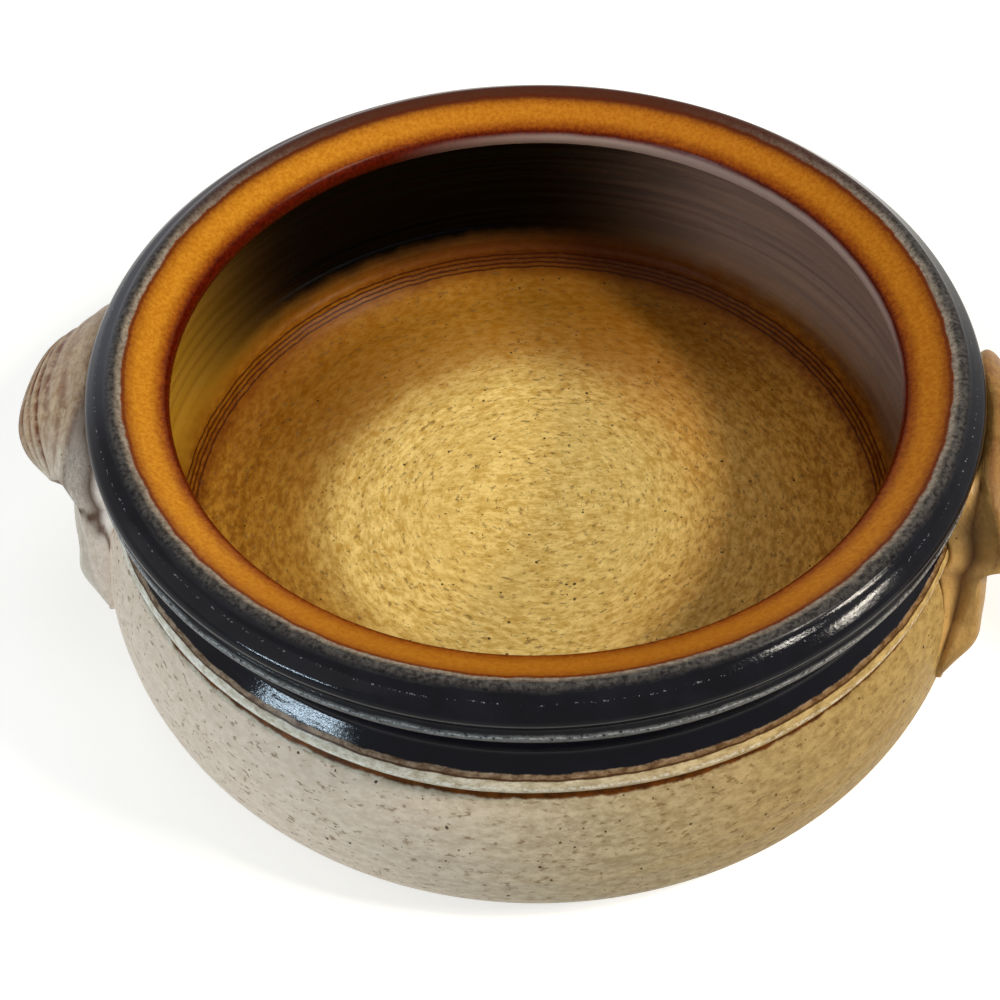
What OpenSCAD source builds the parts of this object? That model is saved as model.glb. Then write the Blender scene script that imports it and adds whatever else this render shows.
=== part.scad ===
// Stoneware casserole: a thrown dish with a sloping lid seat, two pulled strap
// handles luted to its sides, and a domed lid with a knob luted on top.
// The lid lies upside down on its knob beside the dish. Half a turn about an axis
// between the two, parallel to Y, sets it on the seat. The origin is the centre of the base.

/* [Dish] */
// Height of the dish, from the base to the top edge of the lid seat
dish_h = 84; // [74:1:110]
// Radius of the flat base
base_r = 106; // [96:1:112]
// Greatest radius of the belly
belly_r = 120.2; // [116:0.1:130]
// Height of the greatest radius above the base
belly_z = 20; // [16:1:26]
// Thickness of the floor at its centre
floor_t = 14; // [8:0.5:24]
// Radius of the flat part of the floor
floor_r = 84; // [70:1:90]
// Rise of the floor from its centre to the edge of its flat part
floor_dish = 2; // [0.5:0.5:4]
// How far the wall leans out on its way up from the floor
wall_lean = 1; // [0:0.5:2]
// Thickness of the wall at the neck
neck_wall = 6; // [4:0.5:8]

/* [Rim and neck] */
// Outer radius of the lid seat
seat_r = 105; // [100:0.5:110]
// Width of the lid seat, seen from above
seat_w = 11.3; // [9:0.1:14]
// Fall of the lid seat from its outer to its inner edge
seat_drop = 7; // [5:0.5:9]
// Height of the rounded edge on the inside of the seat
seat_edge_h = 5; // [4:0.5:7]
// How far that rounded edge stands into the dish
seat_edge_out = 0.8; // [0.5:0.1:1.5]
// Width of the rounded lip outside the seat
lip_w = 6.8; // [5:0.1:9]
// Height of the rounded lip
lip_h = 5.2; // [4:0.1:7]
// Depth of the grooves at the neck, measured from the lip
groove_d = 1; // [0.5:0.1:2]
// Height of the fillet under the lip
groove_h = 2.6; // [2:0.1:4]
// Height of the thrown ridge under the lip
ridge_h = 4; // [3:0.1:6]
// How far the thrown ridge stands out of the neck
ridge_out = 1; // [0.5:0.1:2]
// Height of the hollow band of the neck
cove_h = 16.2; // [10:0.1:20]
// Depth of the hollow band of the neck
cove_d = 1.4; // [0.5:0.1:2.5]
// Height of the shoulder bead
bead_h = 7.4; // [5:0.1:10]
// How far the shoulder bead stands out of the neck
bead_out = 1.8; // [1:0.1:3]

/* [Handles] */
// Direction of the left handle's middle
left_angle = 178; // [165:1:195]
// Direction of the right handle's middle
right_angle = -10; // [-20:1:15]
// How far the middle of the strap stands off the neck at its outermost point
strap_off = 15.8; // [15:0.1:24]
// Depth of the middle of the strap below the top edge of the dish, at its outermost point
strap_drop = 20; // [16:0.5:26]
// Width of the strap at its outermost point
strap_w = 23; // [18:0.5:25]
// Thickness of the strap
strap_t = 8; // [6:0.5:10]
// Slope of the strap's face at its outermost point
strap_tilt = 35; // [30:1:60]
// Half angle between the strap's two legs
leg_angle = 16; // [12:0.5:20]
// Width of each leg
leg_w = 18; // [14:0.5:20]
// Height of the tips of the tails above the base
tail_z = 23; // [18:0.5:30]
// Angle by which the tails spread away from the handle
tail_spread = 6; // [0:0.5:8]
// Width of a tail's tip
tail_w = 13; // [8:0.5:16]
// Thickness of a tail's tip
tail_t = 3.4; // [2.5:0.1:6]
// How far the middle of a tail stands out of the body
tail_off = 1.7; // [0.5:0.1:2.5]
// How far the legs sink back towards the shoulder on their way up
leg_dip = 0.1; // [0:0.1:2]
// How deep the legs are worked into the body
leg_bite = 0.5; // [0.2:0.1:1.5]

/* [Lid] */
// Free space around the lid's edge inside the lip
lid_clear = 1.4; // [1:0.1:3]
// Free space between the lid and its seat
seat_gap = 0.3; // [0.2:0.1:0.6]
// How far the lid's inner edge stays from the seat's inner edge
lid_inset = 1.8; // [1:0.1:3]
// Height of the lid's upright edge
lid_edge_h = 5; // [4:0.5:8]
// Rise of the lid above the top edge of the seat
lid_rise = 20; // [16:1:34]
// Thickness of the lid
lid_wall = 7; // [5:0.5:9]
// How far the lid's side leans in towards its top, outside
lid_lean = 13; // [8:1:20]
// How far the lid's side leans in towards its top, inside
hollow_lean = 5; // [2:0.5:10]
// Height of the knob
knob_h = 22; // [16:1:30]
// Greatest radius of the knob
knob_r = 20; // [16:0.5:26]
// Radius of the knob's waist
knob_waist_r = 11.5; // [9:0.5:14]
// Radius of the knob's foot on the lid, inside the flat middle of the lid
knob_foot_r = 14.5; // [12:0.5:17]
// Radius of the flat top of the knob
knob_flat_r = 13; // [10:0.5:15]
// Height of the knob's rounded top edge
knob_edge_h = 5.5; // [4:0.5:8]
// Width of the flat ring on the lid around the knob's foot
knob_ring_w = 3; // [2:0.5:6]
// Free space on the table between the right handle and the lid
lid_side_gap = 22; // [12:1:60]

/* [Hidden] */
$fn = 96;
OATMEAL = [0.66, 0.60, 0.49];
TAN = [0.62, 0.53, 0.40];
// Points along each free curve
curve_n = 12;
// Points along each bead, ridge or hollow
bump_n = 10;
// Rings along a strap, and points around each of them
strap_rings = 44;
strap_sides = 20;
// Squareness of the strap's section and of its arch: 1 is an ellipse
strap_square = 0.62;
arch_square = 0.75;
// How late on its way up the strap leaves the body, and how late its tails spread
rise_power = 1.8;
spread_power = 6;
// How much closer together the rings lie at the tails
ring_power = 1.4;
// Slope of the strap's face along its legs and at the tips of its tails
leg_lean = 80;
tail_lean = 90;
// Where the strap starts and ends its bend into a leg, as a share of its half length
bend_from = 0.15;
bend_to = 0.75;
// Where a leg starts to thin out into its tail, and where the tail's tip starts to round off
thin_from = 0.6;
tip_from = 0.88;
// Width left at the very tip, as a share of the tail
tip_end = 0.25;
// Step used to find the strap's direction
path_step = 0.005;
// Fullness of each rounded corner at its start and its end: 0 is a straight cut, 1 a sharp corner
lip_full = [0.55, 0.65];
shoulder_full = [0.5, 0.64];
belly_full = [0.65, 0.74];
under_lip_full = [0.4, 0.8];
floor_full = [0.6, 0.6];
lid_full = [0.45, 0.54];
hollow_full = [0.75, 0.63];
knob_full = [0.6, 0.6];
// Fall of the shoulder before it turns down into the belly, as a share of its height
shoulder_fall = 0.3;
// Share of the inner wall's height taken by the sweep up from the floor
sweep_share = 0.62;
// Heights on the knob towards which its waist is pulled, as shares of its height
waist_from = 0.1;
waist_to = 0.45;

seat_in_r = seat_r - seat_w;
seat_in_z = dish_h - seat_drop;
seat_slope = atan2(seat_drop, seat_w);
lip_r = seat_r + lip_w;
neck_r = lip_r - groove_d;
ridge_z = dish_h - lip_h - groove_h - ridge_h / 2;
cove_z = ridge_z - ridge_h / 2 - cove_h / 2;
bead_z = cove_z - cove_h / 2 - bead_h / 2;
shoulder_z = bead_z - bead_h / 2;
wall_r = neck_r - cove_d - neck_wall;
lid_r = seat_r - lid_clear;
lid_in_r = seat_in_r + lid_inset;
lid_top_z = dish_h + lid_rise;
knob_top_z = lid_top_z + knob_h;
strap_z = dish_h - strap_drop;
strap_r = neck_r + strap_off;
// The strap's outermost reach, and the axis on which the lid turns over
strap_reach = strap_r + strap_w / 2 * cos(strap_tilt) + strap_t / 2 * sin(strap_tilt);
lid_axis_x = (strap_reach + lid_side_gap + lid_r) / 2;
lid_axis_z = knob_top_z / 2;

// A cubic curve from a to d, pulled towards b and c
function curve(a, b, c, d) = [
    for (i = [0 : curve_n])
        let (t = i / curve_n, s = 1 - t)
        a * s * s * s + b * 3 * s * s * t + c * 3 * s * t * t + d * t * t * t
];

// A rounded corner from a to d, with its fullness at each end
function rounded(a, corner, d, full) = curve(a, a + (corner - a) * full[0], d + (corner - d) * full[1], d);

// A bump of height h around z on a wall of radius r, from its top to its foot
function bump(r, z, h, out) = [
    for (i = [0 : bump_n])
        let (t = i / bump_n - 0.5)
        [r + out * cos(180 * t), z - h * t]
];

// Height of the seat at radius r
function seat_at(r) = dish_h - (seat_r - r) * tan(seat_slope);

// Height of the lid's underside where it rests over the seat at radius r
function lid_foot_at(r) = seat_at(r) + seat_gap / cos(seat_slope);

lip = rounded([seat_r, dish_h], [lip_r, dish_h], [lip_r, dish_h - lip_h], lip_full);
neck = concat(
    bump(neck_r, ridge_z, ridge_h, ridge_out),
    bump(neck_r, cove_z, cove_h, -cove_d),
    bump(neck_r, bead_z, bead_h, bead_out)
);
shoulder_corner_z = shoulder_z - (shoulder_z - belly_z) * shoulder_fall;
shoulder = rounded([neck_r, shoulder_z], [belly_r, shoulder_corner_z], [belly_r, belly_z], shoulder_full);
belly = rounded([belly_r, belly_z], [belly_r, 0], [base_r, 0], belly_full);
outside = concat(lip, neck, shoulder, belly);

under_lip_z = seat_in_z - seat_edge_h;
wall_top_z = under_lip_z - (wall_r - seat_in_r);
sweep_z = floor_t + (wall_top_z - floor_t) * sweep_share;
sweep_r = wall_r + wall_lean;
floor_edge_z = floor_t + floor_dish;
seat_edge = bump(seat_in_r, seat_in_z - seat_edge_h / 2, seat_edge_h, -seat_edge_out);
under_lip = rounded([seat_in_r, under_lip_z], [wall_r, under_lip_z], [wall_r, wall_top_z], under_lip_full);
floor_sweep = rounded([sweep_r, sweep_z], [sweep_r, floor_edge_z], [floor_r, floor_edge_z], floor_full);
inside = concat(seat_edge, under_lip, floor_sweep);

// Radius of the outside of the dish at height z
wall_table = [for (p = concat(neck, shoulder, belly)) [p.y, p.x]];
function outside_at(z) = lookup(z, wall_table);
tail_r = outside_at(tail_z);

// Radius at height z of the straight line that a leg follows, from its tail's tip to the shoulder bead
function leg_line_at(z) = tail_r + (neck_r + bead_out - tail_r) * (z - tail_z) / (bead_z - tail_z);

module dish_body() {
    color(OATMEAL)
        rotate_extrude()
            polygon(concat(outside, [[0, 0], [0, floor_t]], [for (i = [len(inside) - 1 : -1 : 0]) inside[i]]));
}

// Share of the width that is left where a tail's tip rounds off
function tip_share(u) =
    let (t = max(abs(u) - tip_from, 0) / (1 - tip_from))
    max(sqrt(max(1 - t * t, 0)), tip_end);

// Middle line of a strap in the handle's own direction, from one tail's tip, u = -1, to the other, u = 1
function strap_at(u) =
    let (
        a = min(abs(u), 1),
        rise = pow(cos(90 * a), arch_square),
        turn = sign(u) * (leg_angle * pow(sin(90 * a), arch_square) + tail_spread * pow(a, spread_power)),
        z = tail_z + (strap_z - tail_z) * rise,
        sunk = 4 * leg_dip * rise * (1 - rise),
        foot = tail_off * tip_share(u),
        stand = strap_r - leg_line_at(strap_z) - foot,
        r = leg_line_at(z) + foot + stand * pow(rise, rise_power) - sunk
    )
    [r * cos(turn), r * sin(turn), z];

// Share, from 0 to 1, of a smooth change that runs from a to b
function eased(x, a, b) =
    let (t = min(max((x - a) / (b - a), 0), 1))
    t * t * (3 - 2 * t);

// A value that is top along the strap's outermost run, leg down its legs and tail at its tips
function along(u, top, leg, tail) =
    let (thin = max(abs(u) - thin_from, 0) / (1 - thin_from))
    top + (leg - top) * eased(abs(u), bend_from, bend_to) + (tail - leg) * thin * thin;

// A point of a strap's rounded section, from -1 to 1 each way
function round_section(v) = [
    sign(cos(v)) * pow(abs(cos(v)), strap_square),
    sign(sin(v)) * pow(abs(sin(v)), strap_square)
];

// A point moved out of the dish's wall, to just under its skin
function on_dish(p) =
    let (
        r = norm([p.x, p.y]),
        grow = max(outside_at(p.z) - leg_bite, r) / r
    )
    [p.x * grow, p.y * grow, p.z];

// A point of the strap's surface: its place along the strap, and the angle around its section
function strap_point(u, v) =
    let (
        way = strap_at(min(u + path_step, 1)) - strap_at(max(u - path_step, -1)),
        ahead = way / norm(way),
        at = strap_at(u),
        out = [at.x, at.y, 0] / norm([at.x, at.y]),
        lean = along(u, strap_tilt, leg_lean, tail_lean),
        up = out * sin(lean) + [0, 0, cos(lean)],
        square = up - ahead * (up * ahead),
        face = square / norm(square),
        across = cross(ahead, face),
        wide = along(u, strap_w, leg_w, tail_w) * tip_share(u),
        thick = along(u, strap_t, strap_t, tail_t) * sqrt(tip_share(u)),
        s = round_section(v)
    )
    on_dish(at + across * wide / 2 * s.x + face * thick / 2 * s.y);

// Place along the strap of ring i
function ring_place(i) =
    let (w = 2 * i / strap_rings - 1)
    sign(w) * (1 - pow(1 - abs(w), ring_power));

module strap_handle() {
    last = strap_rings;
    m = strap_sides;
    points = [
        for (i = [0 : last])
            for (j = [0 : m - 1])
                strap_point(ring_place(i), 360 * j / m)
    ];
    tips = [strap_at(-1), strap_at(1)];
    first_tip = len(points);
    last_tip = first_tip + 1;
    sides = [
        for (i = [0 : last - 1])
            for (j = [0 : m - 1])
                let (k = (j + 1) % m)
                each [
                    [i * m + j, (i + 1) * m + j, (i + 1) * m + k],
                    [i * m + j, (i + 1) * m + k, i * m + k]
                ]
    ];
    caps = [
        for (j = [0 : m - 1])
            let (k = (j + 1) % m)
            each [[first_tip, j, k], [last_tip, last * m + k, last * m + j]]
    ];
    polyhedron(concat(points, tips), concat(sides, caps));
}

module left_handle() {
    color(TAN)
        rotate([0, 0, left_angle])
            strap_handle();
}

module right_handle() {
    color(TAN)
        rotate([0, 0, right_angle])
            strap_handle();
}

// Turns a piece of the closed lid over, onto the table beside the dish
module beside_dish() {
    translate([2 * lid_axis_x, 0, 2 * lid_axis_z])
        rotate([0, 180, 0])
            children();
}

lid_edge_z = lid_foot_at(lid_r);
lid_side_z = lid_edge_z + lid_edge_h;
lid_under_z = lid_top_z - lid_wall;
lid_dome = rounded(
    [lid_r, lid_side_z],
    [lid_r - lid_lean, lid_top_z],
    [knob_foot_r + knob_ring_w, lid_top_z],
    lid_full
);
lid_hollow = rounded(
    [lid_in_r, lid_foot_at(lid_in_r)],
    [lid_in_r - hollow_lean, lid_under_z],
    [0, lid_under_z],
    hollow_full
);

module lid() {
    color(OATMEAL)
        beside_dish()
            rotate_extrude()
                polygon(concat([[0, lid_top_z]], [for (i = [len(lid_dome) - 1 : -1 : 0]) lid_dome[i]],
                    [[lid_r, lid_edge_z]], lid_hollow));
}

knob_edge_z = knob_top_z - knob_edge_h;
knob_waist = curve(
    [knob_foot_r, lid_top_z],
    [knob_waist_r, lid_top_z + knob_h * waist_from],
    [knob_waist_r, lid_top_z + knob_h * waist_to],
    [knob_r, knob_edge_z]
);
knob_edge = rounded([knob_r, knob_edge_z], [knob_r, knob_top_z], [knob_flat_r, knob_top_z], knob_full);

module lid_knob() {
    color(TAN)
        beside_dish()
            rotate_extrude()
                polygon(concat([[0, lid_top_z]], knob_waist, knob_edge, [[0, knob_top_z]]));
}

dish_body();
left_handle();
right_handle();
lid();
lid_knob();
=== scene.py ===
# Looks of a stoneware casserole: a thrown dish, two pulled strap handles and a lid lying beside it.
import math
from collections import namedtuple

import bpy
import numpy as np
from mathutils import Matrix, Quaternion, Vector


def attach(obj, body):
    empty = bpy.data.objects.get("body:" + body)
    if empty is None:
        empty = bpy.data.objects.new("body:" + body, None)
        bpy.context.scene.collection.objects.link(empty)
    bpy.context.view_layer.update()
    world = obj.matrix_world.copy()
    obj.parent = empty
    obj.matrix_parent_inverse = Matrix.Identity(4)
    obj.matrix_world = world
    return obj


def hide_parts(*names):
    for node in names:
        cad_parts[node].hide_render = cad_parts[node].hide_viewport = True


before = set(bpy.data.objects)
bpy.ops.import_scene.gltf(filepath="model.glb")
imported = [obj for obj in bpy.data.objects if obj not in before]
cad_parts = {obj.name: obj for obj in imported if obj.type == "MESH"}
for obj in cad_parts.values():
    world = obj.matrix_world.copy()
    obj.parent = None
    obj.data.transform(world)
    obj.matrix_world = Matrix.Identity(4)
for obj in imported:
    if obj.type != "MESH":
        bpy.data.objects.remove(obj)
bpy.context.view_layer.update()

# Sizes are in millimetres, as in the part's source. Meshes are in metres.
MM = 0.001

# Dish
DISH_H = 84.0
BASE_R = 106.0
BELLY_R = 120.2
BELLY_Z = 20.0
FLOOR_T = 14.0
FLOOR_R = 84.0
FLOOR_RISE = 2.0
WALL_LEAN = 1.0
NECK_WALL = 6.0

# Rim and neck
SEAT_R = 105.0
SEAT_W = 11.3
SEAT_DROP = 7.0
SEAT_EDGE_H = 5.0
SEAT_EDGE_OUT = 0.8
LIP_W = 6.8
LIP_H = 5.2
GROOVE_D = 1.0
GROOVE_H = 2.6
RIDGE_H = 4.0
RIDGE_OUT = 1.0
COVE_H = 16.2
COVE_D = 1.4
BEAD_H = 7.4
BEAD_OUT = 1.8
SHOULDER_FALL = 0.3
SWEEP_SHARE = 0.62
# How much lower the thrown ridge lies than in the solid, and the neck's foot, which flares out to the bead
RIDGE_LOWER = 0.9
FLARE_R = 107.5
FLARE_H = 3.7
# The lip's slanting face, from its inner to its outer edge
FACET_IN = (107.4, 83.1)
FACET_OUT = (110.6, 80.7)
# How far the rim was thrown off centre, and to which side
RIM_OFF = 1.0
RIM_OFF_TO = 195.0

# Handles
LEFT_ANGLE = 178.0
RIGHT_ANGLE = -10.0
STRAP_OFF = 15.8
STRAP_DROP = 20.0
STRAP_W = 23.0
STRAP_T = 8.0
STRAP_TILT = 35.0
LEG_ANGLE = 16.0
LEG_W = 18.0
LEG_TILT = 80.0
LEG_DIP = 0.1
LEG_BITE = 0.5
TAIL_Z = 23.0
TAIL_SPREAD = 6.0
TAIL_W = 13.0
TAIL_T = 3.4
TAIL_OFF = 1.7
TAIL_TILT = 90.0
STRAP_SQUARE = 0.62
ARCH_SQUARE = 0.75
RISE_POWER = 1.8
SPREAD_POWER = 6.0
RING_POWER = 1.4
BEND_FROM = 0.15
BEND_TO = 0.75
THIN_FROM = 0.6
TIP_FROM = 0.88
TIP_END = 0.25

# Lid, written as it sits on the dish, and the axis on which it is turned over onto the table
LID_CLEAR = 1.4
SEAT_GAP = 0.3
LID_INSET = 1.8
LID_EDGE_H = 5.0
LID_ROUND = 0.6
LID_RISE = 20.0
LID_WALL = 7.0
LID_LEAN = 13.0
HOLLOW_LEAN = 5.0
KNOB_H = 22.0
KNOB_R = 20.0
KNOB_WAIST_R = 11.5
KNOB_FOOT_R = 14.5
KNOB_FLAT_R = 13.0
KNOB_EDGE_H = 5.5
KNOB_RING_W = 3.0
LID_SIDE_GAP = 22.0
WAIST_FROM = 0.1
WAIST_TO = 0.45

# Worked out from these
SEAT_IN_R = SEAT_R - SEAT_W
SEAT_IN_Z = DISH_H - SEAT_DROP
SEAT_SLOPE = math.atan2(SEAT_DROP, SEAT_W)
LIP_R = SEAT_R + LIP_W
NECK_R = LIP_R - GROOVE_D
RIDGE_Z = DISH_H - LIP_H - GROOVE_H - RIDGE_H / 2
COVE_Z = RIDGE_Z - RIDGE_H / 2 - COVE_H / 2
BEAD_Z = COVE_Z - COVE_H / 2 - BEAD_H / 2
SHOULDER_Z = BEAD_Z - BEAD_H / 2
WALL_R = NECK_R - COVE_D - NECK_WALL
UNDER_LIP_Z = SEAT_IN_Z - SEAT_EDGE_H
WALL_TOP_Z = UNDER_LIP_Z - (WALL_R - SEAT_IN_R)
SWEEP_Z = FLOOR_T + (WALL_TOP_Z - FLOOR_T) * SWEEP_SHARE
SWEEP_R = WALL_R + WALL_LEAN
FLOOR_EDGE_Z = FLOOR_T + FLOOR_RISE
STRAP_Z = DISH_H - STRAP_DROP
STRAP_R = NECK_R + STRAP_OFF
STRAP_REACH = (
    STRAP_R
    + STRAP_W / 2 * math.cos(math.radians(STRAP_TILT))
    + STRAP_T / 2 * math.sin(math.radians(STRAP_TILT))
)
LID_R = SEAT_R - LID_CLEAR
LID_IN_R = SEAT_IN_R + LID_INSET
LID_TOP_Z = DISH_H + LID_RISE
KNOB_TOP_Z = LID_TOP_Z + KNOB_H
LID_AXIS_X = (STRAP_REACH + LID_SIDE_GAP + LID_R) / 2
LID_AXIS_Z = KNOB_TOP_Z / 2

# Mesh fineness
TURNED_SEGMENTS = 288
STRAP_RINGS = 320
STRAP_SIDES = 192


# Curves and turned shapes


def bezier(a, b, c, d, n):
    """n + 1 points of a cubic curve from a to d, pulled towards b and c."""
    t = np.linspace(0, 1, n + 1)[:, None]
    s = 1 - t
    return a * s**3 + 3 * b * s * s * t + 3 * c * s * t * t + d * t**3


def rounded(a, corner, d, full, n):
    """A rounded corner from a to d, with its fullness at each end."""
    a, corner, d = (np.array(p, float) for p in (a, corner, d))
    return bezier(a, a + (corner - a) * full[0], d + (corner - d) * full[1], d, n)


def line(a, b, n):
    """n + 1 points from a to b."""
    return np.array(a) + (np.array(b) - np.array(a)) * np.linspace(0, 1, n + 1)[:, None]


def bump(r, z, h, out, n):
    """A bump of height h around z on a wall of radius r, from its top to its foot."""
    t = np.linspace(-0.5, 0.5, n + 1)
    return np.stack([r + out * np.cos(np.pi * t), z - h * t], 1)


class Profile:
    """A chain of (r, z) stretches, with the length along it at the end of each."""

    def __init__(self):
        self.points = np.zeros((0, 2))
        self.ends = {}

    def add(self, name, stretch):
        meets = len(self.points) and np.allclose(self.points[-1], stretch[0])
        self.points = np.vstack([self.points, stretch[1:] if meets else stretch])
        self.ends[name] = float(self.along()[-1])

    def along(self):
        steps = np.linalg.norm(np.diff(self.points, axis=0), axis=1)
        return np.concatenate([[0], np.cumsum(steps)])

    def normals(self):
        way = np.gradient(self.points, axis=0)
        way /= np.linalg.norm(way, axis=1)[:, None]
        return np.stack([-way[:, 1], way[:, 0]], 1)


def make_object(name, points, faces, fields):
    """A smooth mesh object from points in millimetres, with a float field for each point."""
    mesh = bpy.data.meshes.new(name)
    mesh.from_pydata((points * MM).tolist(), [], faces)
    for field, values in fields.items():
        layer = mesh.attributes.new(field, "FLOAT", "POINT")
        layer.data.foreach_set("value", np.ascontiguousarray(values, np.float32))
    mesh.shade_smooth()
    obj = bpy.data.objects.new(name, mesh)
    bpy.context.collection.objects.link(obj)
    return obj


def turned(name, profile, shape, place):
    """A profile turned about Z. shape gives how far each point stands proud, and place moves the points."""
    n = len(profile.points)
    m = TURNED_SEGMENTS
    along = profile.along()
    around, where = np.meshgrid(np.arange(m) * 2 * np.pi / m, along)
    push = shape(around, where)
    push[0] = push[0].mean()
    push[-1] = push[-1].mean()
    normals = profile.normals()
    r = profile.points[:, :1] + normals[:, :1] * push
    z = profile.points[:, 1:] + normals[:, 1:] * push
    r[[0, -1]] = 0
    rings = np.stack([r * np.cos(around), r * np.sin(around), z], -1)
    points = np.vstack([rings[0, :1], rings[1:-1].reshape(-1, 3), rings[-1, :1]])
    last = len(points) - 1
    faces = [(0, 1 + j, 1 + (j + 1) % m) for j in range(m)]
    for i in range(n - 3):
        a = 1 + i * m
        b = a + m
        faces += [(a + j, b + j, b + (j + 1) % m, a + (j + 1) % m) for j in range(m)]
    a = 1 + (n - 3) * m
    faces += [(a + j, last, a + (j + 1) % m) for j in range(m)]
    fields = {"along": np.concatenate([along[:1], np.repeat(along[1:-1], m), along[-1:]])}
    return make_object(name, place(points), faces, fields)


def eased(x, a, b):
    """Share, from 0 to 1, of a smooth change that runs from a to b."""
    t = np.clip((x - a) / (b - a), 0, 1)
    return t * t * (3 - 2 * t)


def between(x, a, b, soft):
    """1 from a to b, fading to 0 over soft on both sides."""
    return eased(x, a - soft, a) * (1 - eased(x, b, b + soft))


def hump(x, middle, half):
    """A smooth hump of height 1 at the middle, with this half width."""
    return np.exp(-(((x - middle) / half) ** 2))


# An uneven ripple: random seed, most waves around, about its pitch along the profile and its size in
# millimetres, and how many waves it is the sum of
Ripple = namedtuple("Ripple", "seed turns pitch size waves", defaults=(7,))
PITCH_SPREAD = (0.7, 1.5)


def waver(around, along, ripple):
    """How far an uneven ripple stands proud at each point."""
    rng = np.random.default_rng(ripple.seed)
    total = np.zeros_like(around)
    for _ in range(ripple.waves):
        k = rng.integers(-ripple.turns, ripple.turns + 1)
        length = ripple.pitch * rng.uniform(*PITCH_SPREAD)
        total += np.sin(k * around + 2 * np.pi * along / length + rng.uniform(0, 2 * np.pi))
    return total * ripple.size / math.sqrt(ripple.waves)


# How many millimetres along the profile the wheel's spiral takes to turn by one radian
SPIRAL_PITCH = 9


# Dish


# How far the corners that the crest, lip, groove and cove bend towards lie from the points beside them
CREST_CORNER_OUT = 1.6
LIP_CORNER_DROP = 0.9
GROOVE_CORNER_IN = 0.3
GROOVE_CORNER_UP = 1.2
COVE_CORNER_IN = 0.4
COVE_CORNER_UP = 5
# Fullness of an evenly rounded corner at its two ends
EVEN = (0.6, 0.6)


def dish_profile():
    """The dish's section, from the middle of the floor over the rim and down to the middle of the base."""
    p = Profile()
    floor_edge = (FLOOR_R, FLOOR_EDGE_Z)
    sweep_top = (SWEEP_R, SWEEP_Z)
    wall_top = (WALL_R, WALL_TOP_Z)
    seat_foot = (SEAT_IN_R, SEAT_IN_Z)
    crest_corner = (SEAT_R + CREST_CORNER_OUT, DISH_H)
    lip_corner = (LIP_R, FACET_OUT[1] - LIP_CORNER_DROP)
    lip_foot = (LIP_R, DISH_H - LIP_H)
    ridge_z = RIDGE_Z - RIDGE_LOWER
    ridge_top = (NECK_R, ridge_z + RIDGE_H / 2)
    groove_corner = (NECK_R - GROOVE_CORNER_IN, ridge_top[1] + GROOVE_CORNER_UP)
    cove_top = (NECK_R, ridge_z - RIDGE_H / 2)
    cove_foot = (NECK_R, BEAD_Z + BEAD_H / 2)
    flare_top = (FLARE_R, cove_foot[1] + FLARE_H)
    cove_corner = (FLARE_R - COVE_CORNER_IN, flare_top[1] + COVE_CORNER_UP)
    shoulder_corner = (BELLY_R, SHOULDER_Z - (SHOULDER_Z - BELLY_Z) * SHOULDER_FALL)
    sweep = rounded(sweep_top, (SWEEP_R, FLOOR_EDGE_Z), floor_edge, EVEN, 62)
    under_lip = rounded((SEAT_IN_R, UNDER_LIP_Z), (WALL_R, UNDER_LIP_Z), wall_top, (0.4, 0.8), 14)
    seat_edge = bump(SEAT_IN_R, SEAT_IN_Z - SEAT_EDGE_H / 2, SEAT_EDGE_H, -SEAT_EDGE_OUT, 12)
    p.add("floor", line((0, FLOOR_T), floor_edge, 58))
    p.add("sweep", sweep[::-1])
    p.add("wall", line(sweep_top, wall_top, 22))
    p.add("under_lip", under_lip[::-1])
    p.add("seat_edge", seat_edge[::-1])
    p.add("seat", line(seat_foot, (SEAT_R, DISH_H), 18))
    p.add("crest", rounded((SEAT_R, DISH_H), crest_corner, FACET_IN, EVEN, 8))
    p.add("facet", line(FACET_IN, FACET_OUT, 6))
    p.add("lip", rounded(FACET_OUT, lip_corner, lip_foot, EVEN, 8))
    p.add("groove", rounded(lip_foot, groove_corner, ridge_top, (0.7, 0.7), 8))
    p.add("ridge", bump(NECK_R, ridge_z, RIDGE_H, RIDGE_OUT, 12))
    p.add("neck", rounded(cove_top, cove_corner, flare_top, (0.5, 0.8), 16))
    p.add("cove", line(flare_top, cove_foot, 8))
    p.add("bead", bump(NECK_R, BEAD_Z, BEAD_H, BEAD_OUT, 14))
    p.add("shoulder", rounded((NECK_R, SHOULDER_Z), shoulder_corner, (BELLY_R, BELLY_Z), (0.5, 0.64), 28))
    p.add("belly", rounded((BELLY_R, BELLY_Z), (BELLY_R, 0), (BASE_R, 0), (0.65, 0.74), 24))
    p.add("base", line((BASE_R, 0), (0, 0), 6))
    return p


DISH = dish_profile()
# Where the wheel left its deepest rings, at the foot of the inner wall
RING_R = 98.2


def length_at_radius(profile, r):
    """Length along the profile where its floor and inner wall first reach radius r."""
    inside = profile.along() <= profile.ends["sweep"]
    return float(np.interp(r, profile.points[inside, 0], profile.along()[inside]))


RINGS_AT = length_at_radius(DISH, RING_R)
RING_STEP = 1.4
RING_COUNT = 4
RING_HALF = 0.5
RING_DEPTH = 0.3
# How much the rings' depth changes on the way round
RING_SWING = 0.5
RINGS = [RINGS_AT + (i - (RING_COUNT - 1) / 2) * RING_STEP for i in range(RING_COUNT)]

FLOOR_RIPPLE = Ripple(1, 1, 8, 0.09)
WALL_RIPPLE = Ripple(2, 2, 5, 0.16)
ROLL_RIPPLE = Ripple(3, 9, 40, 0.25)
NECK_RIPPLE = Ripple(4, 14, 30, 0.06)
BEAD_RIPPLE = Ripple(5, 16, 9, 0.12)
BODY_RIPPLE = Ripple(6, 3, 7, 0.09)
FLARE_RIPPLE = Ripple(7, 80, 4, 0.022, 12)


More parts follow.
